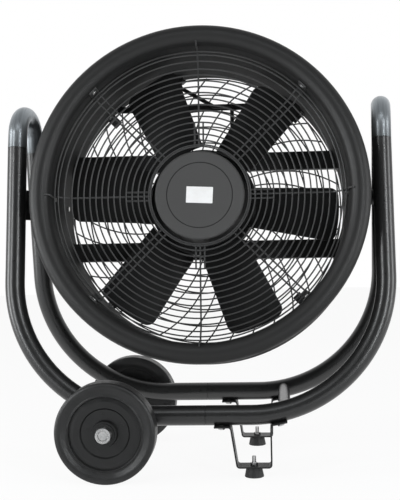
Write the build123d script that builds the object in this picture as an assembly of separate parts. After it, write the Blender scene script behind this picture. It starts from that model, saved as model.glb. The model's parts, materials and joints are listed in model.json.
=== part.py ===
from build123d import *
import os
from math import acos, asin, atan, atan2, cos, degrees, radians, sin, sqrt, tan

# Drum fan on a bent-tube stand with two wheels and two feet.
# Millimetres. X runs along the base tubes, -Y is the front, +Z is up.
# The origin is on the floor, midway between the arms and between the base tubes.

# ---- stand: driving sizes ----
tube_od = 40.0
tube_wall = 2.0
arm_stagger = 5.0            # front frame sits this far to the left, rear frame to the right
base_half_depth = 148.0      # base tube centre lines, front and rear of the middle
base_over_axle = 13.0        # base tube centre line above the top of the axle rod
corner_radius = 276.0        # large bends, on the centre line
leg_lean = 9.5               # degrees from vertical, towards the middle going up
arm_top = 767.0              # outside of the arch crown
arch_end_straight = 30.0     # straight length at each end of an arch
seam_offset = 13.0           # base seams sit right of the middle in front, left at the rear
spigot_length = 50.0
spigot_fit = 0.1             # radial gap of a spigot in its tube
tube_joint_gap = 0.8         # seam where two tubes meet over a spigot
cross_tube_od = 25.0
cross_tube_x = 166.0

# ---- fasteners ----
head_taper = 0.68            # corner circle of a bolt head's cap, in widths across flats
small_bolt_radius = 4.0
small_bolt_af = 13.0
small_bolt_head = 5.5
small_nut_height = 6.5
cutter_reach = 40.0          # length of a tool that cuts a hole right through

# ---- wheels ----
wheel_radius = 100.0
wheel_width = 46.0
wheel_x = -186.0
wheel_gap = 5.0              # wheel face to base tube
tyre_inner_radius = 71.0
hub_recess_radius = 58.5
hub_disc_radius = 47.0
hub_boss_radius = 24.5
hub_web_half = 12.0          # half the thickness of the disc between boss and rim
hub_step = 3.0               # the ledge outside the disc stands this much proud
hub_draft = 2.0
hub_rim_inset = 8.0          # rim of the centre, in from the wheel's faces
tyre_bevel = 1.0             # tyre seat against the rim
tyre_shoulder = 6.0
tyre_shoulder_in = 2.4       # the shoulder's round, below the tread and in from the side
tyre_wall_round = 1.2
tyre_wall_inset = 0.4
tyre_bulge = 13.0            # depth below the tread where the side wall is widest
tyre_lip = 4.0
tyre_groove = 1.6
tyre_groove_pitch = 8.0
tyre_groove_count = 4
hub_mark_circle = 37.0       # small round moulding marks on the disc
hub_mark_radius = 4.0
hub_mark_height = 0.8
hub_mark_count = 5
hub_mark_turn = 26.0
wheel_bush_radius = 14.0
wheel_bolt_radius = 10.0
wheel_bolt_af = 30.0
wheel_bolt_head = 12.5
wheel_end_play = 0.5
running_fit = 0.05           # radial gap of turning fits
washer_height = 3.0
wheel_washer_radius = 21.0
wheel_nut_turn = 14.0        # degrees
axle_end_set = 1.5           # rod ends short of the nut's face
axle_end_chamfer = 1.0
axle_spacer_radius = 12.0
axle_plate_thickness = 6.0
axle_plate_reach = 30.0      # plate below and beside the axle
axle_plate_corner = 8.0
axle_plate_left = 34.0       # top corners of the plate, left and right of the axle
axle_plate_left_rise = 22.0
axle_plate_right = 96.0
axle_plate_right_drop = 10.0

# ---- feet ----
foot_x = 103.0
foot_top_radius = 15.5
foot_bottom_radius = 19.5
foot_height = 20.0
strap_width = 40.0
strap_thickness = 3.0
strap_left_top = 58.0
strap_left_bottom = 70.0
strap_right = 138.0
strap_tab = 33.0
strap_bend = 6.0
strap_bolt_reach = 19.0      # from the strap's corners to its bolts
strap_bolt_length = 12.0
strap_slope_reach = 20.0     # the right tab follows the tube's slope here
strap_slope_inset = 4.0
foot_edge_round = 1.2
foot_stud_radius = 4.0
foot_stud_above = 18.0
foot_stud_depth = 12.0       # into the rubber
foot_nut_height = 5.0

# ---- drum ----
pivot_height = 555.0
rest_tilt = 7.8              # degrees, front up
drum_half_length = 137.0
duct_radius = 305.0
duct_sheet = 2.0
bead_radius = 21.25          # outside of the rolled bead
bead_mouth = 1.7             # width of the opening towards the duct wall, in bead radii

# ---- pivots ----
pivot_bolt_radius = 6.0
pivot_bolt_af = 19.0
pivot_bolt_head = 7.5
pivot_bolt_end = 4.0         # thread past the nut
pivot_nut_height = 10.0
pivot_spacer_radius = 16.0
pivot_spacer_length = 22.7
pivot_washer_radius = 15.0
pivot_washer_height = 2.5
pivot_plate_height = 64.0
pivot_plate_thickness = 6.0
pivot_bracket_depth = 43.0   # outer face of the bracket, out from the duct
pivot_bracket_width = 110.0
pivot_bracket_height = 64.0
pivot_bracket_thickness = 4.0
pivot_bracket_foot = 22.0    # foot flange in front of and behind the hat
pivot_screw_length = 16.0
friction_disc_radius = 26.0
friction_disc_thickness = 4.0
pivot_gap = 0.3              # between faces that turn on each other

# ---- guards ----
guard_ring_wire = 1.5        # wire radius
guard_radial_wire = 1.75
wire_sides = 8
guard_plane = 80.0           # front ring plane, ahead of the pivot axis
guard_pitch = 12.65
guard_inset = 38.2           # outermost flat ring, in from the duct wall
guard_inner_rings = (102.0, 105.5)
guard_dish_width = 20.0      # here the radial wires step forward
guard_dish_rise = 17.0
guard_dish_inset = 13.0      # front end of the step, in from the duct wall
guard_step_inset = 24.0      # ring halfway up the step
guard_edge_insets = (13.2, 5.8)
guard_hook_set = 13.5        # the four single wires turn out over the rim this far behind its front
guard_hook_reach = 6.0
guard_hook_drop = 2.8
hook_gap = 0.35              # between the last ring and the hook wires
hook_bend = 2.0
wire_bend = 3.0
guard_pair_inset = 3.5       # ends of the wire pairs, in from the duct wall
guard_pair_gap = 13.4
short_wire_gap = 9.0
short_wire_end = 152.0
weld_sink = 0.4              # how far crossing wires melt into each other
wire_end = 1.0               # a wire ends this far past its first or last ring
rear_guard_plane = -112.0
rear_ring_count = 7
rear_inner_ring = 78.0
rear_ring_inset = 5.0        # outermost ring, in from the duct wall
rear_spokes = 36
rear_spoke_sweep = 31.0      # degrees that a spoke turns from its inner end to its outer end
rear_spoke_middle = 14.26    # degrees turned halfway out
tab_width = 20.0
front_tab_length = 34.0
front_tab_reach = 12.0
rear_tab_length = 24.0
rear_tab_reach = 26.0
tab_thickness = 2.0
tab_bolt_inset = 13.0
screw_radius = 3.0
screw_head_radius = 5.1
screw_head_height = 2.4
screw_head_round = 1.0
screw_length = 10.0
screw_seat_gap = 0.1         # a flat head on the curved wall
wall_nut_af = 10.0
wall_nut_height = 5.0
wall_nut_gap = 0.2

# ---- motor and impeller ----
cup_radius = 93.0
cup_front = 81.5
cup_back = -40.0
cup_wall = 4.0
cup_edge_round = 5.0
cup_boss_radius = 22.0       # boss inside the cup that holds the shaft
cup_boss_height = 16.0
groove_radius = 68.0
groove_width = 1.6
groove_depth = 1.0
stator_radius = 68.0
stack_low = -30.0            # the iron stack, along the shaft
stack_high = 40.0
stack_slots = 24
slot_depth = 14.0
slot_width = 5.0
slot_cover = 2.0             # iron left outside each slot
winding_radius = 57.0
winding_wire = 6.5           # radius of the end windings
winding_gap = 0.5
air_gap = 0.8
shaft_radius = 10.0
shaft_end = 4.0              # shaft past the rear bearing
bearing_radius = 23.5
bearing_width = 14.0
bearing_inset = 4.0
sleeve_radius = 30.0
sleeve_lip = 8.0             # the sleeve's ends close in on the bearings
sleeve_past_stack = 16.0
flange_radius = 110.0
flange_front = -66.0
flange_thickness = 6.0
flange_edge_round = 1.5
lead_hole_rise = 60.0        # above the shaft
lead_hole_gap = 1.0
motor_bolt_x = 38.0
motor_bolt_end = 8.0         # thread past the rail
rail_spacing = 196.0
rail_height = 40.0
rail_depth = 14.0
rail_sheet = 2.5
rail_pad_depth = 40.0        # end pads along the duct wall
rail_screw_setback = 30.0
rail_screw_length = 12.0
hub_outer_radius = 115.0
hub_ring_wall = 4.0
hub_ring_front = -14.0
hub_ring_back = -58.0
hub_sleeve_wall = 4.0        # collar round the motor cup
hub_web_low = -36.0
hub_web_high = -32.0
blade_count = 6
blade_phase = 36.5           # degrees clockwise from the top, seen from the front
blade_tip_gap = 13.0         # blade tip to duct wall
blade_root_chord = 146.0
blade_tip_chord = 160.0
blade_root_half = 49.5       # half width seen along the shaft
blade_tip_half = 63.0
blade_corner_radius = 20.0
blade_root_depth = 10.0      # the outline starts this far inside the hub ring
blade_root_pitch = 42.0
blade_tip_pitch = 24.0
blade_plane = -18.0
blade_thickness = 4.0
blade_edge = 1.4             # thickness at the two long edges
blade_camber = 9.0
strap_tab_gap = 0.4          # the strap lies just above the two upper tabs of the rear guard
strap_bar_height = 14.0
strap_bar_thickness = 4.0
strap_bar_setback = 13.0     # behind the back edge of the rails
strap_pad_height = 18.0
strap_pad_sheet = 2.5
lead_radius = 4.5
lead_bend = 9.0
lead_side = 62.0             # where the lead runs up beside the motor
lead_clip_side = 22.0        # where it leaves the strap
lead_crossing = 150.0
gland_angle = 11.0           # degrees left of the top
gland_thread = 10.0
gland_nut_corner = 15.0
gland_nut_height = 6.0
gland_nut_inset = 14.0
gland_hex_corner = 15.5
gland_hex_height = 7.0
gland_dome_base = 12.0
gland_dome_top = 8.0
gland_dome_height = 12.0
gland_seal_gap = 0.5

# ---- worked out from the sizes above ----
lean = radians(leg_lean)
tube_radius = tube_od / 2
duct_outer = duct_radius + duct_sheet
pivot_bracket_face = duct_outer + pivot_bracket_depth
pivot_spacer_face = pivot_bracket_face + friction_disc_thickness + pivot_gap
base_height = wheel_radius + wheel_bolt_radius + base_over_axle
# leg centre lines, left and right of the middle
arm_half_span = pivot_spacer_face + pivot_spacer_length + pivot_plate_thickness / 2
guard_wire_plane = guard_plane - guard_ring_wire - guard_radial_wire + weld_sink
guard_outer_ring = duct_radius - guard_inset
guard_rings = int((guard_outer_ring - guard_inner_rings[-1]) / guard_pitch) + 1
guard_seam = guard_outer_ring + guard_ring_wire + wire_end
guard_dish_end = duct_radius - guard_dish_inset
guard_dish_start = guard_dish_end - guard_dish_width
guard_step_ring = duct_radius - guard_step_inset
guard_edge_rings = [duct_radius - inset for inset in guard_edge_insets]
guard_hook_turn = drum_half_length - guard_hook_set
rear_outer_ring = duct_radius - rear_ring_inset
rear_ring_pitch = (rear_outer_ring - rear_inner_ring) / (rear_ring_count - 1)
blade_tip_radius = duct_radius - blade_tip_gap
tab_edge_angle = radians(45) - atan(tab_width / 2 / duct_radius)
strap_bar_rise = duct_radius * cos(tab_edge_angle) + strap_tab_gap + strap_bar_height / 2
leg_offset_at_pivot = base_half_depth - tan(lean) * (pivot_height - base_height)
crown_height = arm_top - tube_radius
arch_radius = (
    cos(lean) * (base_half_depth - tan(lean) * (crown_height - base_height)) / (1 - sin(lean))
)
arch_centre_height = crown_height - arch_radius
arch_joint_height = arch_centre_height + arch_radius * sin(lean) - arch_end_straight
leg_length = (arch_joint_height - base_height) / cos(lean) - tube_joint_gap
rail_front = flange_front - flange_thickness
wheel_inner_face = base_half_depth + tube_radius + wheel_gap
wheel_outer_face = wheel_inner_face + wheel_width
axle_nut_face = wheel_outer_face + wheel_end_play + washer_height

drum_place = Pos(0, 0, pivot_height) * Rot(90 - rest_tilt, 0, 0)

parts = {}


def add(name, shape):
    """Keep one sub-part under its node name."""
    parts[name] = group([shape]) if isinstance(shape, list) else shape


def group(solids):
    """Several separate solids in one node."""
    return Compound(children=[s for item in solids for s in item.solids()])


# ---------------------------------------------------------------- fasteners

def hex_bolt(radius, length, across_flats, head):
    """Head below the origin, shank up +Z."""
    body = extrude(RegularPolygon(across_flats / sqrt(3), 6), -head)
    cap = Cone(across_flats / 2, across_flats * head_taper, head)
    body = body & (Pos(0, 0, -head / 2) * cap)
    return body + Pos(0, 0, length / 2) * Cylinder(radius, length)


def hex_nut(radius, across_flats, height):
    """From the origin up +Z."""
    body = extrude(RegularPolygon(across_flats / sqrt(3), 6), height)
    return body - Pos(0, 0, height / 2) * Cylinder(radius, height)


def washer(inner, outer, height):
    """From the origin up +Z."""
    return Pos(0, 0, height / 2) * (Cylinder(outer, height) - Cylinder(inner, height))


def ring(inner, outer, low, high):
    """Tube about Z between two heights."""
    return Pos(0, 0, (low + high) / 2) * (
        Cylinder(outer, high - low) - Cylinder(inner, high - low)
    )


# ---------------------------------------------------------------- stand

def frame_plane(front):
    """Leaning plane of the front or rear tubes: u along X, v up the legs."""
    side = -1 if front else 1
    up = Vector(0, -side * sin(lean), cos(lean))
    across = Vector(1, 0, 0)
    origin = (side * arm_stagger, side * base_half_depth, base_height)
    return Plane(origin=origin, x_dir=across, z_dir=across.cross(up))


def half_path(front, side):
    """Centre line of one quarter of the stand, from the base seam to the arch joint."""
    seam = (seam_offset if front else -seam_offset) + side * tube_joint_gap / 2
    straight_end = side * (arm_half_span - corner_radius)
    corner = Vector(side * arm_half_span, corner_radius)
    plane = frame_plane(front)
    base = Line(plane.from_local_coords((seam, 0, 0)), plane.from_local_coords((straight_end, 0, 0)))
    quarter = corner_radius * (1 - sin(radians(45)))
    bend = ThreePointArc(
        plane.from_local_coords((straight_end, 0, 0)),
        plane.from_local_coords((side * (arm_half_span - quarter), quarter, 0)),
        plane.from_local_coords((corner.X, corner.Y, 0)),
    )
    leg = Line(
        plane.from_local_coords((corner.X, corner.Y, 0)),
        plane.from_local_coords((corner.X, leg_length, 0)),
    )
    return Wire([base, bend, leg])


def tube_along(path, outer, wall):
    """Round tube swept along a path, and the same as a full bar."""
    start = Plane(origin=path @ 0, z_dir=path % 0)
    bar = sweep(start * Circle(outer), path)
    bore = sweep(start * Circle(outer - wall), path)
    return bar - bore, bar


def arch_path(side):
    """Centre line of an arch from the front leg to the rear leg."""
    joint_offset = base_half_depth - tan(lean) * (arch_joint_height - base_height)
    bend_offset = arch_radius * cos(lean)
    bend_height = arch_centre_height + arch_radius * sin(lean)
    slope = arm_stagger / joint_offset

    def at(y, z):
        return Vector(side * arm_half_span + slope * y, y, z)

    first = Line(at(-joint_offset, arch_joint_height), at(-bend_offset, bend_height))
    bend = ThreePointArc(at(-bend_offset, bend_height), at(0, crown_height), at(bend_offset, bend_height))
    last = Line(at(bend_offset, bend_height), at(joint_offset, arch_joint_height))
    return Wire([first, bend, last])


def spigot(centre, direction):
    """Sleeve inside two tube ends."""
    outer = tube_radius - tube_wall - spigot_fit
    place = Plane(origin=centre, z_dir=direction).location
    return place * (Cylinder(outer, spigot_length) - Cylinder(outer - tube_wall, spigot_length))


def base_tube_height(x):
    """Centre line of a base tube above the floor, at a distance along X from its frame's middle."""
    run = max(0.0, abs(x) - (arm_half_span - corner_radius))
    return base_height + (corner_radius - sqrt(corner_radius**2 - run**2)) * cos(lean)


def build_stand():
    bars = {}
    for front in (True, False):
        for side in (-1, 1):
            name = f"frame_tube_{'front' if front else 'rear'}_{'left' if side < 0 else 'right'}"
            tube, bars[name] = tube_along(half_path(front, side), tube_radius, tube_wall)
            add(name, tube)
    for side in (-1, 1):
        name = f"arch_{'left' if side < 0 else 'right'}"
        path = arch_path(side)
        tube, bars[name] = tube_along(path, tube_radius, tube_wall)
        add(name, tube)
    spigots = []
    for front in (True, False):
        plane = frame_plane(front)
        seam = seam_offset if front else -seam_offset
        spigots.append(spigot(plane.from_local_coords((seam, 0, 0)), Vector(1, 0, 0)))
        for side, word in ((-1, "left"), (1, "right")):
            end = plane.from_local_coords((side * arm_half_span, leg_length, 0))
            spigots.append(spigot(end, plane.y_dir) - parts[f"arch_{word}"])
    add("tube_spigots", group(spigots))

    cross_height = base_tube_height(cross_tube_x)
    cross = Pos(cross_tube_x, 0, cross_height) * Rot(90, 0, 0) * (
        Cylinder(cross_tube_od / 2, 2 * base_half_depth)
        - Cylinder(cross_tube_od / 2 - tube_wall, 2 * base_half_depth)
    )
    add("cross_tube", cross - bars["frame_tube_front_right"] - bars["frame_tube_rear_right"])

    for side in (-1, 1):
        word = "left" if side < 0 else "right"
        plate = Box(pivot_plate_thickness, 2 * leg_offset_at_pivot, pivot_plate_height)
        plate -= Rot(0, 90, 0) * Cylinder(pivot_bolt_radius + running_fit, pivot_plate_thickness)
        plate = Pos(side * arm_half_span, 0, pivot_height) * plate
        plate = plate - bars[f"frame_tube_front_{word}"] - bars[f"frame_tube_rear_{word}"]
        add(f"pivot_plate_{word}", plate)
    return bars


def build_axle(bars):
    """Two plates under the base tubes and one rod through both wheels."""
    plates = []
    for front, word in ((True, "front"), (False, "rear")):
        side = -1 if front else 1
        corner = Circle(axle_plate_corner)
        left = Pos(wheel_x - axle_plate_left, base_height + axle_plate_left_rise) * corner
        right = Pos(wheel_x + axle_plate_right, base_height - axle_plate_right_drop) * corner
        eye = Pos(wheel_x, wheel_radius) * Circle(axle_plate_reach)
        shape = make_hull([*eye.edges(), *left.edges(), *right.edges()])
        plate = extrude(Plane.XZ * shape, axle_plate_thickness / 2, both=True)
        plate -= Pos(wheel_x, 0, wheel_radius) * Rot(90, 0, 0) * Cylinder(
            wheel_bolt_radius, 2 * axle_plate_thickness
        )
        plate = Pos(0, side * base_half_depth, 0) * plate
        plates.append(plate - bars[f"frame_tube_{word}_left"])
    add("axle_plates", group(plates))
    rod_end = axle_nut_face + wheel_bolt_head - axle_end_set
    rod = Cylinder(wheel_bolt_radius, 2 * rod_end)
    rod = chamfer(rod.edges().filter_by(GeomType.CIRCLE), axle_end_chamfer)
    add("axle_rod", Pos(wheel_x, 0, wheel_radius) * Rot(90, 0, 0) * rod)


def tyre():
    """Solid tyre about Z, its middle at the origin."""
    half = wheel_width / 2
    tread_half = half - tyre_shoulder
    seat_half = half - hub_rim_inset - tyre_bevel

    def wall(side):
        return [
            (wheel_radius - tyre_shoulder_in, side * (half - tyre_wall_round)),
            (wheel_radius - tyre_bulge, side * (half - tyre_wall_inset)),
            (tyre_inner_radius + tyre_lip, side * (half + seat_half) / 2),
        ]

    with BuildSketch(Plane.XZ) as profile:
        with BuildLine():
            tread = Line((wheel_radius, -tread_half), (wheel_radius, tread_half))
            outer_seat = (tyre_inner_radius, seat_half)
            outer = Spline(tread @ 1, *wall(1), outer_seat, tangents=((0, 1), (-0.2, -1)))
            seat = Line(outer @ 1, (tyre_inner_radius, -seat_half))
            Spline(seat @ 1, *wall(-1)[::-1], tread @ 0, tangents=((0.2, -1), (0, 1)))
        make_face()
    solid = revolve(profile.sketch, Axis.Z)
    for i in range(tyre_groove_count):
        z = (i - (tyre_groove_count - 1) / 2) * tyre_groove_pitch
        low, high = z - tyre_groove / 2, z + tyre_groove / 2
        solid -= ring(wheel_radius - tyre_groove, wheel_radius + tyre_groove, low, high)
    return solid


def wheel_hub():
    """Stepped centre about Z, its middle at the origin."""
    half = wheel_width / 2
    rim = half - hub_rim_inset
    seat = rim - tyre_bevel
    ledge = hub_web_half + hub_step
    side = [
        (wheel_bush_radius + running_fit, half),
        (hub_boss_radius, half),
        (hub_boss_radius + hub_draft, hub_web_half),
        (hub_disc_radius, hub_web_half),
        (hub_disc_radius + hub_step, ledge),
        (hub_recess_radius, ledge),
        (hub_recess_radius + 2 * hub_draft, rim),
        (tyre_inner_radius, seat),
    ]
    profile = make_face(Polyline(*side, *[(r, -z) for r, z in side[::-1]], close=True))
    hub = revolve(Plane.XZ * profile, Axis.Z)
    for i in range(hub_mark_count):
        place = Rot(0, 0, 360 / hub_mark_count * i + hub_mark_turn) * Pos(hub_mark_circle, 0, 0)
        hub += place * Cylinder(hub_mark_radius, 2 * (hub_web_half + hub_mark_height))
    return hub


def build_wheels():
    spacers = []
    bushes = []
    washers = []
    nuts = []
    middle = (wheel_inner_face + wheel_outer_face) / 2
    bush_low = wheel_inner_face - wheel_end_play
    bush_high = wheel_outer_face + wheel_end_play
    plate_face = base_half_depth + axle_plate_thickness / 2
    for front, word in ((True, "front"), (False, "rear")):
        # local +Z points outwards from the stand
        out = Pos(wheel_x, 0, wheel_radius) * Rot(90 if front else -90, 0, 0)
        add(f"tyre_{word}", out * Pos(0, 0, middle) * tyre())
        add(f"wheel_hub_{word}", out * Pos(0, 0, middle) * wheel_hub())
        bushes.append(out * ring(wheel_bolt_radius, wheel_bush_radius, bush_low, bush_high))
        spacers.append(out * ring(wheel_bolt_radius, axle_spacer_radius, plate_face, bush_low))
        flat = washer(wheel_bolt_radius, wheel_washer_radius, washer_height)
        washers.append(out * Pos(0, 0, bush_high) * flat)
        nuts.append(out * Pos(0, 0, axle_nut_face) * Rot(0, 0, wheel_nut_turn) * axle_nut())
    add("wheel_bushes", group(bushes))
    add("axle_spacers", group(spacers))
    add("wheel_washers", group(washers))
    add("axle_nuts", group(nuts))


def axle_nut():
    """Hexagon nut with chamfered corners, from the origin up +Z."""
    body = extrude(RegularPolygon(wheel_bolt_af / sqrt(3), 6), wheel_bolt_head)
    cap = Cone(wheel_bolt_af * head_taper, wheel_bolt_af / 2, wheel_bolt_head)
    body &= Pos(0, 0, wheel_bolt_head / 2) * cap
    return body - Pos(0, 0, wheel_bolt_head / 2) * Cylinder(wheel_bolt_radius, wheel_bolt_head)


def foot_strap(shift):
    """Bent strap under a base tube, its width along Y, and where its two bolts go: x, z, slope."""
    half = strap_thickness / 2
    slope = degrees(asin((strap_right + strap_slope_reach - arm_half_span + corner_radius) / corner_radius))
    low = foot_height + half
    left_top = base_tube_height(strap_left_top - shift) - tube_radius - half
    right_top = base_tube_height(strap_right + strap_slope_inset - shift) - tube_radius - half
    tab_end = (
        strap_right + strap_tab * cos(radians(slope)),
        right_top + strap_tab * sin(radians(slope)),
    )
    line = FilletPolyline(
        (strap_left_top - strap_tab, left_top),
        (strap_left_top, left_top),
        (strap_left_bottom, low),
        (strap_right, low),
        (strap_right, right_top),
        tab_end,
        radius=strap_bend,
    )
    strap = extrude(Plane.XZ * trace(line, strap_thickness), strap_width / 2, both=True)
    left_x = strap_left_top - strap_bolt_reach
    right_x = strap_right + strap_bolt_reach
    right_z = right_top + (right_x - strap_right) * tan(radians(slope))
    seats = [(left_x, left_top, 0), (right_x, right_z, slope)]
    for x, z, lie in seats:
        strap -= Pos(x, 0, z) * Rot(0, -lie, 0) * Cylinder(small_bolt_radius, cutter_reach / 4)
    strap -= Pos(foot_x, 0, low) * Cylinder(foot_stud_radius, 2 * strap_thickness)
    return strap, seats


def build_feet(bars):
    straps = []
    feet = []
    bolts = []
    studs = []
    nuts = []
    plate_top = foot_height + strap_thickness
    stud_top = plate_top + foot_stud_above
    stud_low = foot_height - foot_stud_depth
    stud = Pos(0, 0, (stud_top + stud_low) / 2) * Cylinder(foot_stud_radius, stud_top - stud_low)
    foot = Pos(0, 0, foot_height / 2) * Cone(foot_bottom_radius, foot_top_radius, foot_height)
    foot = fillet(foot.edges().sort_by(Axis.Z)[0], foot_edge_round) - stud
    for side, word in ((-1, "front"), (1, "rear")):
        name = f"frame_tube_{word}_right"
        row = Pos(0, side * base_half_depth, 0)
        strap, seats = foot_strap(side * arm_stagger)
        straps.append(row * strap - bars[name])
        bolt = hex_bolt(small_bolt_radius, strap_bolt_length, small_bolt_af, small_bolt_head)
        for x, z, lie in seats:
            placed = row * Pos(x, 0, z) * Rot(0, -lie, 0) * Pos(0, 0, -strap_thickness / 2) * bolt
            bolts.append(placed)
            parts[name] -= placed
        place = row * Pos(foot_x, 0, 0)
        feet.append(place * foot)
        studs.append(place * stud)
        nuts.append(place * Pos(0, 0, plate_top) * hex_nut(foot_stud_radius, small_bolt_af, foot_nut_height))
    add("foot_straps", group(straps))
    add("rubber_feet", group(feet))
    add("strap_bolts", group(bolts))
    add("foot_studs", group(studs))
    add("foot_nuts", group(nuts))


# ---------------------------------------------------------------- drum

def bead(centre_z, outward):
    """Cross-section of the rolled rim, open where it meets the duct wall."""
    centre = Pos(duct_radius + bead_radius, centre_z)
    hoop = centre * (Circle(bead_radius) - Circle(bead_radius - duct_sheet))
    mouth = centre * Pos(-bead_radius / 2, -outward * bead_radius) * Rectangle(
        bead_radius * bead_mouth, bead_radius * 2
    )
    return hoop - mouth


def drum_shell():
    """Duct with both rims rolled outwards, in the drum's own frame (+Z to the front)."""
    bead_z = drum_half_length - bead_radius
    profile = Pos(duct_radius + duct_sheet / 2, 0) * Rectangle(duct_sheet, 2 * bead_z)
    profile += bead(bead_z, 1) + bead(-bead_z, -1)
    shell = revolve(Plane.XZ * profile, Axis.Z)
    return shell


def wall_screw(angle, height, length=screw_length):
    """Screw through the duct wall, head inside, at an angle clockwise from the top."""
    head = Cylinder(screw_head_radius, screw_head_height)
    head = fillet(head.edges().sort_by(Axis.Z)[0], screw_head_round)
    head = Pos(0, 0, -screw_head_height / 2) * head
    body = head + Pos(0, 0, length / 2) * Cylinder(screw_radius, length)
    seat = duct_radius - tab_thickness - screw_seat_gap
    return Rot(0, 0, -angle) * Pos(0, seat, height) * Rot(-90, 0, 0) * body


def wall_nut(angle, height):
    """Nut on the outside of the duct wall."""
    nut = hex_nut(screw_radius, wall_nut_af, wall_nut_height)
    return Rot(0, 0, -angle) * Pos(0, duct_outer + wall_nut_gap, height) * Rot(-90, 0, 0) * nut


def guard_tab(angle, low, foot_length, reach):
    """Angle tab: a foot along the duct wall from its low end forwards, and an ear under the guard."""
    foot = ring(duct_radius - tab_thickness, duct_radius, low, low + foot_length)
    foot &= Pos(0, duct_radius, low + foot_length / 2) * Box(tab_width, 6 * tab_thickness, foot_length)
    ear = Box(tab_width, reach, tab_thickness)
    root = duct_radius - tab_thickness / 2
    tab = foot + Pos(0, root - reach / 2, low + tab_thickness / 2) * ear
    hole = Pos(0, duct_radius, low + foot_length - tab_bolt_inset) * Rot(90, 0, 0) * Cylinder(
        screw_radius, cutter_reach
    )
    return Rot(0, 0, -angle) * (tab - hole)


def wire_section(radius):
    """Flat-sided round of a wire; the flats are where crossing wires meet."""
    return RegularPolygon(radius, wire_sides, major_radius=False, rotation=180 / wire_sides)


def ring_arc(radius, height, turn):
    """Part of a wire hoop about Z, its middle at the top (+Y)."""
    section = Plane.XZ * (Pos(radius, height) * wire_section(guard_ring_wire))
    return Rot(0, 0, 90 - turn / 2) * revolve(section, Axis.Z, turn)


def wire_along(points, section, bend):
    """Wire along a bent line that runs up (+Y)."""
    path = FilletPolyline(*points, radius=bend) if len(points) > 2 else Line(*points)
    start = Plane(origin=path @ 0, x_dir=(1, 0, 0), z_dir=path % 0)
    return sweep(start * section, path)


def welded_turn(hoops, square, diagonal):
    """Hoops welded to wires in eight sectors, in turn with the square and the diagonal wires."""
    solids = []
    for offset, wires in ((0, square), (45, diagonal)):
        arcs = [ring_arc(radius, height, 45) for radius, height in hoops]
        sector = arcs[0].fuse(*arcs[1:], *wires).solids()
        for quarter in range(4):
            solids += [Rot(0, 0, 90 * quarter + offset) * solid for solid in sector]
    return solids[0].fuse(*solids[1:])


def front_guard():
    """Flat part of the front guard: close rings on straight radial wires."""
    start = guard_inner_rings[0] - wire_end
    section = wire_section(guard_radial_wire)
    hoops = [(guard_outer_ring - guard_pitch * i, guard_plane) for i in range(guard_rings)]
    hoops += [(radius, guard_plane) for radius in guard_inner_rings]

    def straight(x, end):
        points = [(x, sqrt(start**2 - x**2), guard_wire_plane), (x, end, guard_wire_plane)]
        return wire_along(points, section, wire_bend)

    square = [straight(0, guard_seam)]
    diagonal = []
    for side in (-1, 1):
        square.append(straight(side * short_wire_gap, short_wire_end))
        diagonal.append(straight(side * guard_pair_gap / 2, guard_seam))
    return welded_turn(hoops, square, diagonal)


def guard_rim():
    """Edge of the front guard: the radial wires step forward, and four of them hook over the rim."""
    edge = guard_wire_plane + guard_dish_rise
    on_wire = guard_plane - guard_wire_plane
    slope = atan2(guard_dish_rise, guard_dish_end - guard_dish_start)
    step_height = guard_wire_plane + (guard_step_ring - guard_dish_start) * tan(slope)
    hoops = [(guard_step_ring, step_height + on_wire / cos(slope))]
    hoops += [(radius, edge + on_wire) for radius in guard_edge_rings]

    section = wire_section(guard_radial_wire)
    hook_radius = guard_edge_rings[-1] + guard_ring_wire + guard_radial_wire + hook_gap
    dish = [(guard_seam, guard_wire_plane), (guard_dish_start, guard_wire_plane), (guard_dish_end, edge)]
    hook_tip = (duct_radius + guard_hook_reach, drum_half_length - guard_hook_drop)
    hook = [(hook_radius, edge), (hook_radius, guard_hook_turn), hook_tip]
    single = [(0, y, z) for y, z in dish + hook]
    square = [wire_along(single, section, hook_bend)]
    diagonal = []
    for side in (-1, 1):
        pair = [(side * guard_pair_gap / 2, y, z) for y, z in [*dish, (duct_radius - guard_pair_inset, edge)]]
        diagonal.append(wire_along(pair, section, wire_bend))
    return welded_turn(hoops, square, diagonal)


def rear_guard():
    """Wide rings with spokes that curve as they go out."""
    rings = [
        ring_arc(rear_outer_ring - rear_ring_pitch * i, rear_guard_plane, 360)
        for i in range(rear_ring_count)
    ]
    height = rear_guard_plane + 2 * guard_ring_wire - weld_sink

    def polar(radius, angle):
        return Vector(radius * sin(radians(angle)), radius * cos(radians(angle)), height)

    path = ThreePointArc(
        polar(rear_inner_ring - wire_end, 0),
        polar((rear_inner_ring + rear_outer_ring) / 2, rear_spoke_middle),
        polar(rear_outer_ring + wire_end, rear_spoke_sweep),
    )
    start = Plane(origin=path @ 0, x_dir=(0, 0, 1), z_dir=path % 0)
    spoke = sweep(start * wire_section(guard_ring_wire), path)
    spokes = [Rot(0, 0, 360 / rear_spokes * i) * spoke for i in range(rear_spokes)]
    return rings[0].fuse(*rings[1:], *spokes)


def bracket_screw_rise():
    """Distance of a bracket's screws in front of and behind the pivot."""
    return (pivot_bracket_width + pivot_bracket_foot) / 2


def bracket_hole(along):
    """Room for a bracket screw, along X, in front of or behind the pivot."""
    place = Pos(duct_outer, along * bracket_screw_rise(), 0) * Rot(0, 90, 0)
    return place * Cylinder(screw_radius, cutter_reach)


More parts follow.
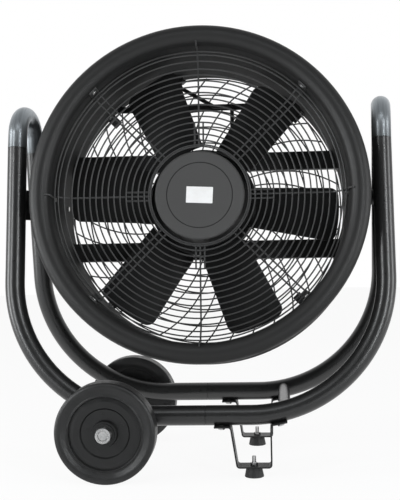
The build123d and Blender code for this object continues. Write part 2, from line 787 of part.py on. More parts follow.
def pivot_bracket():
    """Hat-shaped bracket on the outside of the duct, in the stand's frame, to the right (+X)."""
    depth = pivot_bracket_width
    height = pivot_bracket_height
    sheet = pivot_bracket_thickness
    block = Pos(pivot_bracket_face / 2, 0, 0) * Box(pivot_bracket_face, depth, height)
    hollow = Pos((pivot_bracket_face - sheet) / 2, 0, 0) * Box(
        pivot_bracket_face - sheet, depth - 2 * sheet, 2 * height
    )
    duct_space = Rot(90, 0, 0) * Cylinder(duct_outer, 2 * depth)
    foot = Pos(duct_outer, 0, 0) * Box(height, depth + 2 * pivot_bracket_foot, height)
    foot &= Rot(90, 0, 0) * ring(duct_outer, duct_outer + sheet, -depth, depth)
    holes = Pos(pivot_bracket_face, 0, 0) * Rot(0, 90, 0) * Cylinder(
        pivot_bolt_radius + running_fit, cutter_reach
    )
    for along in (-1, 1):
        holes += bracket_hole(along)
    return block - hollow - duct_space + foot - holes


def bracket_screws(side):
    """Screws that hold a pivot bracket to the wall, heads inside the duct."""
    head_z = -(pivot_screw_length + screw_head_height) / 2
    body = Cylinder(screw_radius, pivot_screw_length)
    body += Pos(0, 0, head_z) * Cylinder(screw_head_radius, screw_head_height)
    middle = duct_radius - screw_seat_gap + pivot_screw_length / 2
    return [
        Pos(side * middle, 0, along * bracket_screw_rise()) * Rot(0, 90 * side, 0) * body
        for along in (-1, 1)
    ]


def build_pivots():
    screws = []
    for side in (-1, 1):
        word = "left" if side < 0 else "right"
        bracket = pivot_bracket()
        if side < 0:
            bracket = mirror(bracket, Plane.YZ)
        screws += bracket_screws(side)
        # the bracket is made with its width along Y; the drum's own frame has that along Z
        bracket = Rot(-90, 0, 0) * bracket
        for along in (-1, 1):
            hole = Rot(-90, 0, 0) * bracket_hole(along)
            parts["drum_shell"] -= mirror(hole, Plane.YZ) if side < 0 else hole
        add(f"pivot_bracket_{word}", bracket)
    add("pivot_screws", group(screws))


def build_pivot_bolts():
    """The stand's side of both pivots, in the stand's frame."""
    plate_in = arm_half_span - pivot_plate_thickness / 2
    plate_out = arm_half_span + pivot_plate_thickness / 2
    head = plate_out + pivot_washer_height
    nut_face = pivot_bracket_face - pivot_bracket_thickness - pivot_gap
    bore = pivot_bolt_radius + running_fit
    length = head - nut_face + pivot_nut_height + pivot_bolt_end
    bolt = hex_bolt(pivot_bolt_radius, length, pivot_bolt_af, pivot_bolt_head)
    nut = hex_nut(pivot_bolt_radius, pivot_bolt_af, pivot_nut_height)
    spacers = []
    washers = []
    bolts = []
    nuts = []
    for side in (-1, 1):
        out = Pos(0, 0, pivot_height) * Rot(0, 90 * side, 0)
        spacers.append(out * ring(bore, pivot_spacer_radius, pivot_spacer_face, plate_in))
        flat = washer(bore, pivot_washer_radius, pivot_washer_height)
        washers.append(out * Pos(0, 0, plate_out) * flat)
        bolts.append(out * Pos(0, 0, head) * Rot(180, 0, 0) * bolt)
        nuts.append(out * Pos(0, 0, nut_face - pivot_nut_height) * nut)
    add("pivot_spacers", group(spacers))
    add("pivot_washers", group(washers))
    add("pivot_bolts", group(bolts))
    add("pivot_nuts", group(nuts))


# ---------------------------------------------------------------- motor

def build_rotor():
    """Cup over the motor with its boss and groove, and the magnet ring inside it."""
    inside = cup_front - cup_wall
    cup = ring(0, cup_radius, cup_back, cup_front)
    cup = fillet(cup.edges().sort_by(Axis.Z)[-1], cup_edge_round)
    cup -= ring(0, cup_radius - cup_wall, cup_back, inside)
    cup += ring(shaft_radius, cup_boss_radius, inside - cup_boss_height, inside)
    groove = groove_width / 2
    cup -= ring(groove_radius - groove, groove_radius + groove, cup_front - groove_depth, cup_front)
    add("rotor_cup", cup)
    add("rotor_ring", ring(stator_radius + air_gap, cup_radius - cup_wall, stack_low, stack_high))


def rail_bolt_places():
    return [(x, y) for x in (-motor_bolt_x, motor_bolt_x) for y in (-rail_spacing / 2, rail_spacing / 2)]


def build_stator():
    """Flange with the bearing sleeve, bearings, shaft, slotted iron and end windings."""
    flange_back = flange_front - flange_thickness
    sleeve_top = stack_high + sleeve_past_stack
    bearing_low = flange_front + bearing_inset
    bearing_high = sleeve_top - bearing_width
    lows = (bearing_low, bearing_high)
    flange = ring(sleeve_radius - sleeve_lip, flange_radius, flange_back, flange_front)
    flange = fillet(flange.edges().filter_by(GeomType.CIRCLE).sort_by(SortBy.RADIUS)[-1], flange_edge_round)
    flange += ring(sleeve_radius - sleeve_lip, sleeve_radius, flange_front, sleeve_top)
    for low in lows:
        flange -= ring(0, bearing_radius, low, low + bearing_width)
    flange -= ring(0, bearing_radius, flange_back, bearing_low)
    for x, y in rail_bolt_places():
        flange -= Pos(x, y, flange_front) * Cylinder(small_bolt_radius, cutter_reach)
    lead_hole = Cylinder(lead_radius + lead_hole_gap, cutter_reach)
    flange -= Pos(0, lead_hole_rise, flange_front) * lead_hole
    add("motor_flange", flange)
    race = shaft_radius + running_fit
    add("motor_bearings", group([ring(race, bearing_radius, low, low + bearing_width) for low in lows]))
    add("motor_shaft", ring(0, shaft_radius, bearing_low - shaft_end, cup_front - cup_wall))

    middle = (stack_low + stack_high) / 2
    slot = Box(slot_depth, slot_width, stack_high - stack_low)
    slot = Pos(stator_radius - slot_cover - slot_depth / 2, 0, middle) * slot
    core = ring(sleeve_radius, stator_radius, stack_low, stack_high)
    for i in range(stack_slots):
        core -= Rot(0, 0, 360 / stack_slots * i) * slot
    add("stator_core", core)
    coil = Torus(winding_radius, winding_wire)
    reach = winding_wire + winding_gap
    add("stator_windings", group([Pos(0, 0, stack_high + reach) * coil, Pos(0, 0, stack_low - reach) * coil]))


def motor_rail(y):
    """Channel across the drum behind the motor, with a pad along the duct wall at each end."""
    inner = duct_radius - tab_thickness
    low = rail_front - rail_depth
    half = sqrt(inner**2 - (abs(y) - rail_height / 2) ** 2)
    outside = Pos(0, y, (rail_front + low) / 2) * Box(2 * half, rail_height, rail_depth)
    trough = Box(3 * half, rail_height - 2 * rail_sheet, rail_depth)
    channel = outside - Pos(0, y, (rail_front + low) / 2 - rail_sheet) * trough
    channel &= ring(0, inner, low, rail_front)
    pad = Pos(0, y, rail_front - rail_pad_depth / 2) * Box(3 * duct_radius, rail_height, rail_pad_depth)
    pad &= ring(inner, duct_radius, rail_front - rail_pad_depth, rail_front)
    return channel + pad


def build_rails():
    bolts = []
    screws = []
    length = flange_thickness + rail_sheet + motor_bolt_end
    bolt = hex_bolt(small_bolt_radius, length, small_bolt_af, small_bolt_head)
    nut = hex_nut(small_bolt_radius, small_bolt_af, small_nut_height)
    for side, word in ((1, "upper"), (-1, "lower")):
        y = side * rail_spacing / 2
        rail = motor_rail(y)
        for end in (-1, 1):
            angle = end * degrees(acos(y / duct_radius))
            screw = wall_screw(angle, rail_front - rail_screw_setback, rail_screw_length)
            screws.append(screw)
            rail -= screw
        for x in (-motor_bolt_x, motor_bolt_x):
            rail -= Pos(x, y, rail_front) * Cylinder(small_bolt_radius, cutter_reach)
            bolts.append(Pos(x, y, flange_front) * Rot(180, 0, 0) * bolt)
            bolts.append(Pos(x, y, rail_front - rail_sheet - small_nut_height) * nut)
        add(f"motor_rail_{word}", rail)
    for screw in screws:
        parts["drum_shell"] -= screw
    add("motor_bolts", group(bolts))
    return screws


# ---------------------------------------------------------------- impeller

def blade_section(radius, chord, pitch):
    """Thin curved section of a blade at a radius, for a blade that points up (+Y)."""
    half = chord / 2
    plane = Plane(
        origin=(0, radius, blade_plane),
        x_dir=(cos(radians(pitch)), 0, sin(radians(pitch))),
        z_dir=(0, 1, 0),
    )
    with BuildSketch(plane) as section:
        with BuildLine():
            crown = (0, blade_camber + blade_thickness / 2)
            belly = (0, blade_camber - blade_thickness / 2)
            upper = ThreePointArc((-half, blade_edge / 2), crown, (half, blade_edge / 2))
            right = Line(upper @ 1, (half, -blade_edge / 2))
            lower = ThreePointArc(right @ 1, belly, (-half, -blade_edge / 2))
            Line(lower @ 1, upper @ 0)
        make_face()
    return section.sketch


def blade_outline():
    """Blade seen along the shaft, pointing up (+Y), with its two tip corners rounded off."""
    tip_low = sqrt(blade_tip_radius**2 - blade_tip_half**2)
    root = hub_outer_radius - blade_root_depth
    with BuildSketch() as outline:
        with BuildLine():
            left = Line((-blade_root_half, root), (-blade_tip_half, tip_low))
            tip = ThreePointArc(left @ 1, (0, blade_tip_radius), (blade_tip_half, tip_low))
            right = Line(tip @ 1, (blade_root_half, root))
            Line(right @ 1, left @ 0)
        make_face()
        fillet(outline.vertices().sort_by(Axis.Y)[-2:], blade_corner_radius)
    return outline.sketch


def blade():
    """Twisted, cambered paddle, trimmed to its outline and to the hub ring."""
    inner = hub_outer_radius - 3 * blade_root_depth
    outer = blade_tip_radius + blade_root_depth
    sections = []
    for step in range(3):
        share = step / 2
        radius = inner + (outer - inner) * share
        chord = blade_root_chord + (blade_tip_chord - blade_root_chord) * share
        pitch = blade_root_pitch + (blade_tip_pitch - blade_root_pitch) * share
        sections.append(blade_section(radius, chord, pitch))
    reach = blade_tip_radius
    trimmed = loft(sections) & extrude(blade_outline(), reach, both=True)
    return trimmed - Cylinder(hub_outer_radius, 2 * reach)


def build_impeller():
    sleeve_outer = cup_radius + hub_sleeve_wall
    hub_inner = hub_outer_radius - hub_ring_wall
    hub = ring(hub_inner, hub_outer_radius, hub_ring_back, hub_ring_front)
    hub += ring(cup_radius, sleeve_outer, cup_back, hub_ring_front)
    hub += ring(sleeve_outer, hub_inner, hub_web_low, hub_web_high)
    add("impeller_hub", hub)
    first = blade()
    for i in range(blade_count):
        angle = blade_phase + 360 / blade_count * i
        add(f"blade_{i + 1}", Rot(0, 0, -angle) * first)


# ---------------------------------------------------------------- lead and gland

def build_lead():
    inner = duct_radius - strap_pad_sheet
    bar_z = rail_front - rail_depth - strap_bar_setback
    half = sqrt(inner**2 - strap_bar_rise**2)
    reach = 2 * strap_pad_height
    bar = Pos(0, strap_bar_rise, bar_z) * Box(3 * half, strap_bar_height, strap_bar_thickness)
    bar &= ring(0, inner, bar_z - reach, bar_z + reach)
    pads = Pos(0, strap_bar_rise, bar_z) * Box(3 * half, strap_bar_height, strap_pad_height)
    pads &= ring(inner, duct_radius, bar_z - reach, bar_z + reach)
    add("lead_strap", bar + pads)

    lead_z = bar_z + strap_bar_thickness / 2 + lead_radius
    turn = radians(gland_angle)
    before_gland = duct_radius - gland_nut_inset - gland_thread
    in_gland = duct_radius - strap_pad_sheet
    points = [
        (0, lead_hole_rise, flange_front - flange_thickness + lead_radius),
        (0, lead_hole_rise, lead_z),
        (lead_side, lead_crossing, lead_z),
        (lead_side, strap_bar_rise, lead_z),
        (lead_clip_side, strap_bar_rise, lead_z),
        (-before_gland * sin(turn), before_gland * cos(turn), lead_z),
        (-in_gland * sin(turn), in_gland * cos(turn), lead_z),
    ]
    add("motor_lead", wire_along(points, Circle(lead_radius), lead_bend))

    gland = Pos(0, 0, -gland_nut_inset) * extrude(RegularPolygon(gland_nut_corner, 6), gland_nut_height)
    gland += ring(0, gland_thread, -gland_nut_inset, duct_sheet)
    gland += Pos(0, 0, duct_sheet) * extrude(RegularPolygon(gland_hex_corner, 6), gland_hex_height)
    dome = Cone(gland_dome_base, gland_dome_top, gland_dome_height)
    gland += Pos(0, 0, duct_sheet + gland_hex_height + gland_dome_height / 2) * dome
    gland -= Cylinder(lead_radius + gland_seal_gap, 2 * cutter_reach)
    place = Rot(0, 0, gland_angle) * Pos(0, duct_radius, lead_z) * Rot(-90, 0, 0)
    add("cord_gland", place * gland)
    parts["drum_shell"] -= place * Cylinder(gland_thread + running_fit, cutter_reach)


# ---------------------------------------------------------------- assembly

def build_drum():
    add("drum_shell", drum_shell())
    add("front_guard", front_guard())
    add("guard_rim", guard_rim())
    add("rear_guard", rear_guard())
    tabs = []
    screws = []
    nuts = []
    front_low = guard_wire_plane + guard_dish_rise - guard_radial_wire - tab_thickness
    rear_low = rear_guard_plane + 3 * guard_ring_wire - weld_sink
    rows = ((front_low, front_tab_length, front_tab_reach), (rear_low, rear_tab_length, rear_tab_reach))
    for quarter in range(4):
        angle = 45 + 90 * quarter
        for low, length, reach in rows:
            tabs.append(guard_tab(angle, low, length, reach))
            bolt_z = low + length - tab_bolt_inset
            screws.append(wall_screw(angle, bolt_z))
            nuts.append(wall_nut(angle, bolt_z))
    for screw in screws:
        parts["drum_shell"] -= screw
    add("guard_tabs", group(tabs))
    add("guard_nuts", group(nuts))
    build_pivots()
    build_rotor()
    build_stator()
    add("wall_screws", group(screws + build_rails()))
    build_impeller()
    build_lead()


def build_friction_discs():
    discs = []
    for side in (-1, 1):
        out = Pos(0, 0, pivot_height) * Rot(0, 90 * side, 0)
        disc = ring(
            pivot_bolt_radius + running_fit,
            friction_disc_radius,
            pivot_bracket_face,
            pivot_bracket_face + friction_disc_thickness,
        )
        discs.append(out * disc)
    add("friction_discs", group(discs))


build_drum()
for name in list(parts):
    parts[name] = drum_place * parts[name]
build_friction_discs()
stand_bars = build_stand()
build_axle(stand_bars)
build_wheels()
build_feet(stand_bars)
build_pivot_bolts()

os.makedirs("parts", exist_ok=True)
for name, shape in parts.items():
    export_step(shape, f"parts/{name}.step")
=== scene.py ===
import json
import math

import bmesh
import bpy
from mathutils import Matrix, Vector


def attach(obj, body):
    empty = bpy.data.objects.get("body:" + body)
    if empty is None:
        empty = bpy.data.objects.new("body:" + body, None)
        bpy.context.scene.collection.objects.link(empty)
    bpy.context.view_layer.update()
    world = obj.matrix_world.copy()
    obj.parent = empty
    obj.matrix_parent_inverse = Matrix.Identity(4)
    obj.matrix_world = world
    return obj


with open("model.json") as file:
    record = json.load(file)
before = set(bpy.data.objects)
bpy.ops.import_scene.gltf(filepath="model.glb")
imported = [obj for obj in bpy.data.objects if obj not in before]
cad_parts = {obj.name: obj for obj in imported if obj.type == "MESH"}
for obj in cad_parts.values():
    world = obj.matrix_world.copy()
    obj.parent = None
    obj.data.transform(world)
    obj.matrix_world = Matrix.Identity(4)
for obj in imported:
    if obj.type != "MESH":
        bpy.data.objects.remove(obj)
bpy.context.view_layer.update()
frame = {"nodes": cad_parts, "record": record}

# Looks for the drum fan. Metres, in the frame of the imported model.

PIVOT = Vector((0, 0, 0.555))
TILT = math.radians(7.8)
# the drum's own frame: x across, y up its face, z out of the front
DRUM = Matrix.Translation(PIVOT) @ Matrix.Rotation(math.radians(90) - TILT, 4, "X")
DUCT_RADIUS = 0.305
CUP_FACE = 0.0815            # face of the rotor cup, along the drum's z
GROOVE_RADIUS = 0.068        # groove in that face

# most of a noise lies between these values
NOISE_LOW = 0.3
NOISE_HIGH = 0.7

# the floor; gloss sees it white behind these places on the y axis
FLOOR_RADIUS = 6.0
FLOOR_SIDES = 96
GLOSS_WHITE_FROM = -0.35
GLOSS_WHITE_FULL = -0.1

MIDDLE = (0, 0, 0.5)
FEET = (0, 0, 0.2)
COOL = (0.96, 0.985, 1.0)
COOL_SIDE = (0.97, 0.99, 1.0)
COOL_OVER = (0.94, 0.975, 1.0)

# name, place, what it points at, width and height, watts, colour
LAMPS = (
    ("left_front", (-1.7, -1.9, 0.95), MIDDLE, (0.35, 1.6), 22.0, COOL),
    ("right_front", (1.4, -2.1, 0.95), MIDDLE, (0.35, 1.6), 22.0, COOL),
    ("left_side", (-2.6, -0.6, 0.8), MIDDLE, (0.8, 1.6), 34.0, COOL_SIDE),
    ("right_side", (2.6, -0.6, 0.8), MIDDLE, (0.8, 1.6), 20.0, COOL_SIDE),
    ("over", (0.1, -1.8, 2.2), FEET, (1.8, 0.6), 7.0, COOL_OVER),
)

CAMERA_PLACE = (0.1592, -2.1352, 0.4957)
CAMERA_YAW = 0.078
CAMERA_PITCH = 0.021
CAMERA_ROLL = 0.022
CAMERA_LENS = 72.0           # mm, on a sensor 36 mm wide
CAMERA_SENSOR = 36.0
CAMERA_REACH = 50.0


# ---------------------------------------------------------------- node helpers

class Nodes:
    """A node tree, built up node by node."""

    def __init__(self, tree):
        self.tree = tree

    def node(self, kind, **values):
        made = self.tree.nodes.new(kind)
        for key, value in values.items():
            made.inputs[key].default_value = value
        return made

    def link(self, source, target):
        self.tree.links.new(source, target)

    def axis(self, vector, name):
        made = self.node("ShaderNodeSeparateXYZ")
        self.link(vector, made.inputs["Vector"])
        return made.outputs[name]

    def ramp(self, value, low, high, first, last):
        """Map value from low..high to first..last, held at the ends."""
        made = self.node("ShaderNodeMapRange")
        made.inputs["From Min"].default_value = low
        made.inputs["From Max"].default_value = high
        made.inputs["To Min"].default_value = first
        made.inputs["To Max"].default_value = last
        self.link(value, made.inputs["Value"])
        return made.outputs["Result"]

    def math(self, kind, a, b=0.0):
        made = self.node("ShaderNodeMath")
        made.operation = kind
        for value, socket in ((a, made.inputs[0]), (b, made.inputs[1])):
            if isinstance(value, (int, float)):
                socket.default_value = value
            else:
                self.link(value, socket)
        return made.outputs["Value"]

    def mix(self, factor, a, b):
        """Colour a where factor is 0 and colour b where it is 1."""
        made = self.node("ShaderNodeMix")
        made.data_type = "RGBA"
        self.link(factor, made.inputs["Factor"])
        for value, socket in ((a, made.inputs["A"]), (b, made.inputs["B"])):
            if isinstance(value, (tuple, list)):
                socket.default_value = (*value, 1.0)
            else:
                self.link(value, socket)
        return made.outputs["Result"]

    def white_share(self, behind):
        """Share of full white: all to the camera, and what is behind the object to gloss and glass."""
        path = self.node("ShaderNodeLightPath")
        gloss = self.math("MAXIMUM", path.outputs["Is Glossy Ray"], path.outputs["Is Transmission Ray"])
        seen = self.math("MULTIPLY", gloss, behind)
        return self.math("MAXIMUM", path.outputs["Is Camera Ray"], seen)

    def blend(self, factor, first, second, output):
        """Show the first shader where factor is 0 and the second where it is 1."""
        made = self.node("ShaderNodeMixShader")
        self.link(factor, made.inputs["Fac"])
        self.link(first, made.inputs[1])
        self.link(second, made.inputs[2])
        self.link(made.outputs["Shader"], self.tree.nodes[output].inputs["Surface"])


class Surface(Nodes):
    """A procedural material."""

    def __init__(self, name, roughness=0.5, metallic=0.0, specular=0.5):
        self.material = bpy.data.materials.new(name)
        self.material.use_nodes = True
        super().__init__(self.material.node_tree)
        self.shader = self.tree.nodes["Principled BSDF"]
        self.shader.inputs["Roughness"].default_value = roughness
        self.shader.inputs["Metallic"].default_value = metallic
        self.shader.inputs["Specular IOR Level"].default_value = specular
        self.place = self.node("ShaderNodeTexCoord").outputs["Object"]

    def stretched(self, scale):
        """Place scaled along each axis, for a drawn-out noise."""
        made = self.node("ShaderNodeMapping", Scale=scale)
        self.link(self.place, made.inputs["Vector"])
        return made.outputs["Vector"]

    def from_drum_axis(self):
        """Distance from the axis that the impeller turns on."""
        back = DRUM.inverted()
        turned = self.node("ShaderNodeMapping", Location=back.translation, Rotation=back.to_euler())
        self.link(self.place, turned.inputs["Vector"])
        flat = self.node("ShaderNodeMapping", Scale=(1.0, 1.0, 0.0))
        self.link(turned.outputs["Vector"], flat.inputs["Vector"])
        length = self.node("ShaderNodeVectorMath")
        length.operation = "LENGTH"
        self.link(flat.outputs["Vector"], length.inputs[0])
        return length.outputs["Value"]

    def noise(self, scale, detail, rough=0.55, place=None):
        made = self.node("ShaderNodeTexNoise", Scale=scale, Detail=detail, Roughness=rough)
        self.link(place or self.place, made.inputs["Vector"])
        return made.outputs["Fac"]

    def vary(self, noise, first=0.0, last=1.0, low=NOISE_LOW, high=NOISE_HIGH):
        """A value that wanders between first and last."""
        return self.ramp(noise, low, high, first, last)

    def colour(self, source):
        self.link(source, self.shader.inputs["Base Color"])

    def roughness(self, source):
        self.link(source, self.shader.inputs["Roughness"])

    def bump(self, height, strength, distance):
        made = self.node("ShaderNodeBump", Strength=strength, Distance=distance)
        self.link(height, made.inputs["Height"])
        self.link(made.outputs["Normal"], self.shader.inputs["Normal"])


# ---------------------------------------------------------------- finishes

def grey(value, warm=0.0):
    return (value * (1 + warm), value, value * (1 - warm))


class Paint(Surface):
    """Sprayed paint on steel: faint mottling, fine peel, dust on what faces up, rubbed edges."""

    DUST = grey(0.22, 0.04)
    DUST_SLOPE = 0.3             # upward share of the normal where dust starts to lie
    RUBBED = grey(0.12)
    SHARP_FROM = 0.66            # pointiness of an edge that starts to be rubbed
    SHARP_FULL = 0.8
    MOST_RUBBED = 0.3

    def __init__(self, name, dark, light, roughness, peel=0.25, dust=0.03, gloss=0.35):
        super().__init__(name, roughness, specular=gloss)
        base = self.mix(self.vary(self.noise(scale=5.0, detail=3.0)), dark, light)
        skin = self.node("ShaderNodeNewGeometry")
        upward = self.axis(skin.outputs["Normal"], "Z")
        lying = self.ramp(upward, self.DUST_SLOPE, 1.0, 0.0, dust)
        specks = self.vary(self.noise(scale=240.0, detail=6.0), 0.2, 1.0, low=0.4)
        dusty = self.mix(self.math("MULTIPLY", lying, specks), base, self.DUST)
        edge = self.ramp(
            skin.outputs["Pointiness"], self.SHARP_FROM, self.SHARP_FULL, 0.0, self.MOST_RUBBED
        )
        patches = self.vary(self.noise(scale=90.0, detail=5.0), low=0.45, high=0.65)
        self.coat = self.mix(self.math("MULTIPLY", edge, patches), dusty, self.RUBBED)
        self.sheen = self.vary(self.noise(scale=160.0, detail=4.0), roughness - 0.03, roughness + 0.03)
        self.colour(self.coat)
        self.roughness(self.sheen)
        self.bump(self.noise(scale=420.0, detail=2.0), strength=peel, distance=0.0004)


def paint(name, dark, light, roughness, **more):
    return Paint(name, dark, light, roughness, **more).material


def duct_paint(name, dark, light, roughness, inside_shade, dull):
    """Paint of the drum: within the duct it is darker, a painted shade, and duller than on the rolled
    rims.
    """
    inside_ends = DUCT_RADIUS + 0.0003
    rim_starts = DUCT_RADIUS + 0.0015
    s = Paint(name, dark, light, roughness, peel=0.3, dust=0.02, gloss=0.4)
    within = s.ramp(s.from_drum_axis(), inside_ends, rim_starts, 1.0, 0.0)
    # painted shade: the wall within the duct is painted darker
    s.colour(s.mix(within, s.coat, inside_shade))
    s.roughness(s.math("ADD", s.sheen, s.math("MULTIPLY", within, dull)))
    return s.material


def cup_paint(name, dark, light, roughness, groove_shade):
    """Paint of the motor cup, with a painted shade in the sunken ring of its face, fading beside it."""
    dark_to = 0.0006
    fades_to = 0.0012
    s = Paint(name, dark, light, roughness, peel=0.5)
    off = s.math("ABSOLUTE", s.math("SUBTRACT", s.from_drum_axis(), GROOVE_RADIUS))
    # painted shade in the groove of the cup's face
    s.colour(s.mix(s.ramp(off, dark_to, fades_to, 1.0, 0.0), s.coat, groove_shade))
    return s.material


def steel_with_painted_highlight(name, low, high, seam, crown, roughness):
    """Steel of the arches: black where it meets the painted legs, and paler and bluish towards the
    crown, a painted highlight of the light from above.
    """
    along_y_and_z = (1.0, 0.06, 0.06)
    crown_highlight_strength = 0.9
    s = Surface(name, roughness, metallic=0.8)
    # painted highlight: the steel grows paler and bluish with height towards the crown
    crown_highlight = s.ramp(s.axis(s.place, "Z"), seam, crown, 0.0, 1.0)
    streaks = s.noise(scale=260.0, detail=4.0, place=s.stretched(along_y_and_z))
    drawn = s.vary(streaks, -0.12, 0.12, low=0.35, high=0.65)
    s.colour(s.mix(s.math("MULTIPLY", crown_highlight, s.math("ADD", drawn, crown_highlight_strength)), low, high))
    s.roughness(s.vary(s.noise(scale=180.0, detail=4.0), roughness - 0.04, roughness + 0.05))
    s.bump(s.noise(scale=420.0, detail=2.0), strength=0.15, distance=0.0003)
    return s.material


def rubber(name, dark, light, roughness):
    """Rubber with faint patches and an uneven sheen."""
    s = Surface(name, roughness, specular=0.45)
    patches = s.vary(s.noise(scale=28.0, detail=6.0, rough=0.65), low=0.38, high=0.68)
    s.colour(s.mix(patches, dark, light))
    s.roughness(s.vary(s.noise(scale=70.0, detail=4.0), roughness - 0.07, roughness + 0.1))
    s.bump(s.noise(scale=600.0, detail=3.0), strength=0.25, distance=0.0003)
    return s.material


def zinc(name):
    """Zinc plate: bright, faintly streaked and spangled."""
    cell_edge = 0.8
    most_spangle = 0.35
    s = Surface(name, 0.3, metallic=1.0)
    cells = s.node("ShaderNodeTexVoronoi", Scale=380.0)
    s.link(s.place, cells.inputs["Vector"])
    base = s.mix(s.vary(s.noise(scale=120.0, detail=5.0)), grey(0.42, 0.01), grey(0.72, 0.02))
    spangle = s.ramp(cells.outputs["Distance"], 0.0, cell_edge, 0.0, most_spangle)
    s.colour(s.mix(spangle, base, grey(0.62, -0.02)))
    s.roughness(s.vary(s.noise(scale=220.0, detail=4.0), 0.2, 0.42))
    s.bump(s.noise(scale=500.0, detail=2.0), strength=0.2, distance=0.0002)
    return s.material


def cast(name, dark, light, roughness, metallic=0.0):
    """Grainy surface of cast or stacked metal, or of wound wire."""
    s = Surface(name, roughness, metallic)
    grains = s.noise(scale=350.0, detail=4.0, rough=0.6)
    s.colour(s.mix(s.vary(grains), dark, light))
    s.roughness(s.vary(s.noise(scale=80.0, detail=4.0), roughness - 0.08, roughness + 0.08))
    s.bump(grains, strength=0.4, distance=0.0005)
    return s.material


def plastic(name, dark, light, roughness):
    """Moulded plastic with a fine grain."""
    s = Surface(name, roughness)
    s.colour(s.mix(s.vary(s.noise(scale=40.0, detail=5.0)), dark, light))
    s.roughness(s.vary(s.noise(scale=120.0, detail=4.0), roughness - 0.06, roughness + 0.08))
    s.bump(s.noise(scale=900.0, detail=3.0), strength=0.3, distance=0.0002)
    return s.material


def paper(name, dark, light):
    """Slightly uneven paper of a sticker."""
    s = Surface(name, 0.55, specular=0.4)
    s.colour(s.mix(s.vary(s.noise(scale=90.0, detail=6.0)), dark, light))
    s.bump(s.noise(scale=160.0, detail=5.0), strength=0.25, distance=0.0004)
    return s.material


# ---------------------------------------------------------------- finishes of the CAD nodes

# slot: name of the material, its darkest and lightest colour, its roughness
LOOKS = {
    "frame_tube": paint("frame_paint", grey(0.009), grey(0.012), 0.3, gloss=0.75),
    # the arches' pale bluish crowns are a painted highlight
    "arch": steel_with_painted_highlight(
        "arch_steel_painted_highlight", grey(0.012), (0.5, 0.54, 0.57), seam=0.64, crown=0.77, roughness=0.34
    ),
    # the drum's darker colour within the duct is painted shade
    "drum": duct_paint(
        "drum_paint", grey(0.01, 0.01), grey(0.012, 0.01), 0.46, inside_shade=grey(0.008), dull=0.3
    ),
    "pivot_steel": paint("pivot_paint", grey(0.011), grey(0.014), 0.45),
    # the wires' grey, lighter than the other black paint, is a painted highlight on black-coated wire
    "guard_wire": paint("wire_coat_painted_highlight", grey(0.045), grey(0.055), 0.36, peel=0.2, dust=0.04),
    "blade": paint("blade_paint", grey(0.006), grey(0.008), 0.5, peel=0.3, dust=0.02),
    "impeller_hub": paint("hub_paint", grey(0.006), grey(0.008), 0.5),
    # the cup's dark ring colour is painted shade in its groove
    "rotor_cup": cup_paint("cup_paint", grey(0.055, 0.01), grey(0.06, 0.01), 0.6, groove_shade=grey(0.012)),
    "rail": paint("rail_paint", grey(0.008), grey(0.01), 0.5),
    "strap": paint("strap_paint", grey(0.01), grey(0.014), 0.42),
    "zinc": zinc("zinc_plate"),
    "spigot": paint("spigot_steel", grey(0.006), grey(0.01), 0.5),
    "bearing_steel": zinc("ground_steel"),
    "friction_disc": rubber("friction_lining", grey(0.03), grey(0.05), 0.8),
    "tyre": rubber("tyre_rubber", grey(0.012), grey(0.02), 0.38),
    "foot_rubber": rubber("foot_rubber", grey(0.015), grey(0.025), 0.55),
    "cable": rubber("cable_sheath", grey(0.008), grey(0.012), 0.45),
    "gland": plastic("gland_plastic", grey(0.012), grey(0.018), 0.5),
    "wheel_hub": plastic("hub_plastic", grey(0.006), grey(0.009), 0.34),
    "bush": plastic("bush_plastic", grey(0.4), grey(0.48), 0.5),
    "motor_iron": cast("core_iron", grey(0.12), grey(0.2), 0.5, metallic=0.8),
    "motor_cast": cast("motor_casting", grey(0.02), grey(0.035), 0.5),
    "winding": cast("winding_enamel", (0.25, 0.08, 0.03), (0.4, 0.14, 0.05), 0.35),
}


def finish_node(node, look):
    mesh = frame["nodes"][node].data
    mesh.materials.clear()
    mesh.materials.append(LOOKS[look])


for entry in frame["record"]["subparts"]:
    finish_node(entry["node"], entry["material_slot"])
# these washers are black, unlike the other zinc pieces
finish_node("wheel_washers", "pivot_steel")


# ---------------------------------------------------------------- added pieces

def new_piece(name, bm, material):
    mesh = bpy.data.meshes.new(name)
    bm.to_mesh(mesh)
    bm.free()
    mesh.materials.append(material)
    made = bpy.data.objects.new(name, mesh)
    bpy.context.scene.collection.objects.link(made)
    return made


def label():
    """Blank sticker with round corners on the face of the rotor cup."""
    half_x, half_y, corner, thickness = 0.0275, 0.017, 0.0012, 0.0003
    turn = math.radians(-3)
    corner_steps = 3
    outline = []
    for side_x, side_y, start in ((1, 1, 0), (-1, 1, 90), (-1, -1, 180), (1, -1, 270)):
        for step in range(corner_steps + 1):
            a = math.radians(start + 90 / corner_steps * step)
            x = side_x * (half_x - corner) + corner * math.cos(a)
            y = side_y * (half_y - corner) + corner * math.sin(a)
            outline.append(Vector((x, y, 0)))
    bm = bmesh.new()
    face = bm.faces.new([bm.verts.new(point) for point in outline])
    made = bmesh.ops.extrude_face_region(bm, geom=[face])
    for raised in made["geom"]:
        if isinstance(raised, bmesh.types.BMVert):
            raised.co.z += thickness
    bm.transform(DRUM @ Matrix.Translation((0, 0, CUP_FACE)) @ Matrix.Rotation(turn, 4, "Z"))
    bmesh.ops.recalc_face_normals(bm, faces=bm.faces)
    sticker = new_piece("blank_label", bm, paper("label_paper", grey(0.8, 0.01), grey(0.86)))
    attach(sticker, "impeller")


label()


# ---------------------------------------------------------------- floor, light, camera

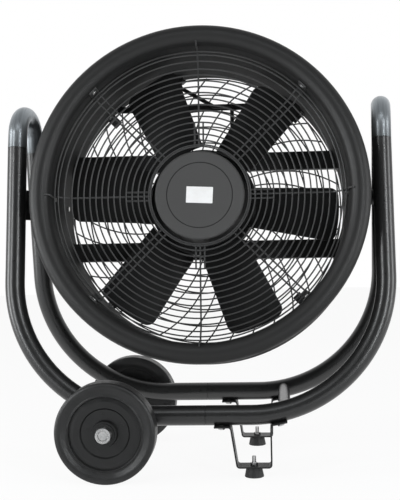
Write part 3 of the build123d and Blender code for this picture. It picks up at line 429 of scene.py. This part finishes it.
def floor():
    """Pale floor that keeps the object's shadow and shows the camera nearly full white."""
    glow_strength = 1.02
    glow_share = 0.9
    s = Surface("floor_white", 0.9, specular=0.1)
    s.colour(s.mix(s.vary(s.noise(scale=3.0, detail=4.0)), grey(0.86), grey(0.88)))
    glow = s.node("ShaderNodeEmission", Color=(1, 1, 1, 1), Strength=glow_strength)
    behind = s.ramp(s.axis(s.place, "Y"), GLOSS_WHITE_FROM, GLOSS_WHITE_FULL, 0.0, 1.0)
    share = s.math("MULTIPLY", s.white_share(behind), glow_share)
    s.blend(share, s.shader.outputs["BSDF"], glow.outputs["Emission"], "Material Output")
    bm = bmesh.new()
    bmesh.ops.create_circle(bm, cap_ends=True, segments=FLOOR_SIDES, radius=FLOOR_RADIUS)
    new_piece("floor", bm, s.material)


def backdrop_light():
    """White studio: full white to the camera and behind the object, and dim in front of it."""
    tint = (0.97, 0.985, 1.0, 1.0)
    dim, level = 0.06, 0.42                  # strength in front of the object, and beside it
    dim_to, level_from = -0.9, 0.1           # depths that go with them
    white_from, white_full = 0.2, 0.95       # depths where gloss sees white
    world = bpy.data.worlds.new("studio")
    bpy.context.scene.world = world
    world.use_nodes = True
    w = Nodes(world.node_tree)
    depth = w.axis(w.node("ShaderNodeTexCoord").outputs["Generated"], "Y")
    behind = w.ramp(depth, white_from, white_full, 0.0, 1.0)
    around = w.tree.nodes["Background"]
    around.inputs["Color"].default_value = tint
    w.link(w.ramp(depth, dim_to, level_from, dim, level), around.inputs["Strength"])
    white = w.node("ShaderNodeBackground", Color=(1, 1, 1, 1))
    share = w.white_share(behind)
    w.blend(share, around.outputs["Background"], white.outputs["Background"], "World Output")


def area_light(name, place, aim, size, power, colour):
    data = bpy.data.lights.new(name, "AREA")
    data.shape = "RECTANGLE"
    data.size, data.size_y = size
    data.energy = power
    data.color = colour
    made = bpy.data.objects.new(name, data)
    made.location = place
    made.rotation_euler = (Vector(aim) - Vector(place)).to_track_quat("-Z", "Y").to_euler()
    bpy.context.scene.collection.objects.link(made)


def camera():
    """Where the photograph was taken from, found by fitting the stand, drum and wheels to it."""
    level = Vector((math.cos(CAMERA_YAW), math.sin(CAMERA_YAW), 0))
    forward = Vector((-math.sin(CAMERA_YAW), math.cos(CAMERA_YAW), 0))
    ahead = math.cos(CAMERA_PITCH) * forward - Vector((0, 0, math.sin(CAMERA_PITCH)))
    over = level.cross(ahead)
    right = math.cos(CAMERA_ROLL) * level - math.sin(CAMERA_ROLL) * over
    up = math.sin(CAMERA_ROLL) * level + math.cos(CAMERA_ROLL) * over
    data = bpy.data.cameras.new("camera")
    data.lens = CAMERA_LENS
    data.sensor_width = CAMERA_SENSOR
    data.clip_end = CAMERA_REACH
    made = bpy.data.objects.new("camera", data)
    turn = Matrix((right, up, -ahead)).transposed()
    made.matrix_world = Matrix.Translation(CAMERA_PLACE) @ turn.to_4x4()
    bpy.context.scene.collection.objects.link(made)
    bpy.context.scene.camera = made


floor()
backdrop_light()
for lamp in LAMPS:
    area_light(*lamp)
camera()
bpy.context.scene.view_settings.view_transform = "Standard"
